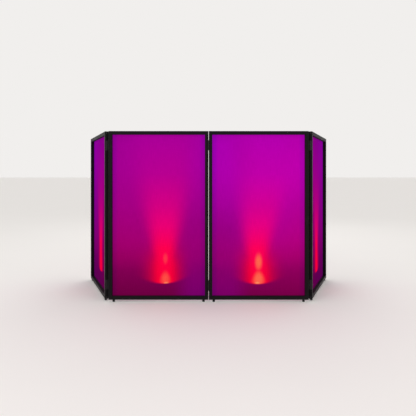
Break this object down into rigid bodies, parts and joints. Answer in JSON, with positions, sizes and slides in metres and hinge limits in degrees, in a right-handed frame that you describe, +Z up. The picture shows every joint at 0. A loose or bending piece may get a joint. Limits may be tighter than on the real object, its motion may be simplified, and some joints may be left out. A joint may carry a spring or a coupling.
{
  "type": "folding dj booth front",
  "caption": "Free-standing folding DJ booth front: square-tube frames with stretched cloth scrims on rubber feet, hinged edge to edge, with a wing swung back at each end.",
  "frame": {"origin": "centre of the standing part's box, on the floor", "axes": "+Z up, +Y from the audience side to the performer side, +X to the right seen from the audience"},
  "size_m": [2.041, 0.6927, 1.219],
  "materials": {
    "frame_black": "semi-gloss black powder coat on steel tube",
    "cap_plastic": "moulded black polyethylene",
    "plug_nylon": "black nylon",
    "screw_black": "black oxide steel",
    "foot_rubber": "moulded black rubber",
    "hook_tape": "woven nylon hook tape",
    "scrim_cloth": "stretch knit scrim, tinted magenta with a red glow as if lit from behind",
    "hinge_steel": "black coated pressed steel"
  },
  "bodies": {
    "left_wing": {"left_wing_rear_stile": "frame_black", "left_wing_corner_stile": "frame_black", "left_wing_top_rail": "frame_black", "left_wing_bottom_rail": "frame_black", "left_wing_rail_plugs": "plug_nylon", "left_wing_frame_screws": "screw_black", "left_wing_end_caps": "cap_plastic", "left_wing_feet": "foot_rubber", "left_wing_foot_screws": "screw_black", "left_wing_hook_tape": "hook_tape", "left_wing_scrim": "scrim_cloth", "left_wing_hinge_screws": "screw_black", "left_corner_hinge_wing_leaves": "hinge_steel"},
    "left_front": {"left_front_corner_stile": "frame_black", "left_front_centre_stile": "frame_black", "left_front_top_rail": "frame_black", "left_front_bottom_rail": "frame_black", "left_front_rail_plugs": "plug_nylon", "left_front_frame_screws": "screw_black", "left_front_end_caps": "cap_plastic", "left_front_feet": "foot_rubber", "left_front_foot_screws": "screw_black", "left_front_hook_tape": "hook_tape", "left_front_scrim": "scrim_cloth", "left_front_hinge_screws": "screw_black", "left_corner_hinge_front_leaves": "hinge_steel", "left_corner_hinge_pins": "hinge_steel", "centre_hinge_left_leaves": "hinge_steel", "centre_hinge_pins": "hinge_steel"},
    "right_front": {"right_front_centre_stile": "frame_black", "right_front_corner_stile": "frame_black", "right_front_top_rail": "frame_black", "right_front_bottom_rail": "frame_black", "right_front_rail_plugs": "plug_nylon", "right_front_frame_screws": "screw_black", "right_front_end_caps": "cap_plastic", "right_front_feet": "foot_rubber", "right_front_foot_screws": "screw_black", "right_front_hook_tape": "hook_tape", "right_front_scrim": "scrim_cloth", "right_front_hinge_screws": "screw_black", "centre_hinge_right_leaves": "hinge_steel", "right_corner_hinge_front_leaves": "hinge_steel", "right_corner_hinge_pins": "hinge_steel"},
    "right_wing": {"right_wing_corner_stile": "frame_black", "right_wing_rear_stile": "frame_black", "right_wing_top_rail": "frame_black", "right_wing_bottom_rail": "frame_black", "right_wing_rail_plugs": "plug_nylon", "right_wing_frame_screws": "screw_black", "right_wing_end_caps": "cap_plastic", "right_wing_feet": "foot_rubber", "right_wing_foot_screws": "screw_black", "right_wing_hook_tape": "hook_tape", "right_wing_scrim": "scrim_cloth", "right_wing_hinge_screws": "screw_black", "right_corner_hinge_wing_leaves": "hinge_steel"}
  },
  "joints": [
    {"name": "left_wing_fold", "type": "hinge", "parent": "left_front", "child": "left_wing", "pos_m": [-0.7148, -0.30776, 0], "axis": [0, 0, -1], "range_deg": [-67, 113]},
    {"name": "centre_fold", "type": "hinge", "parent": "left_front", "child": "right_front", "pos_m": [0, -0.34276, 0], "axis": [0, 0, -1], "range_deg": [0, 180]},
    {"name": "right_wing_fold", "type": "hinge", "parent": "right_front", "child": "right_wing", "pos_m": [0.7148, -0.30776, 0], "axis": [0, 0, 1], "range_deg": [-67, 113]}
  ]
}
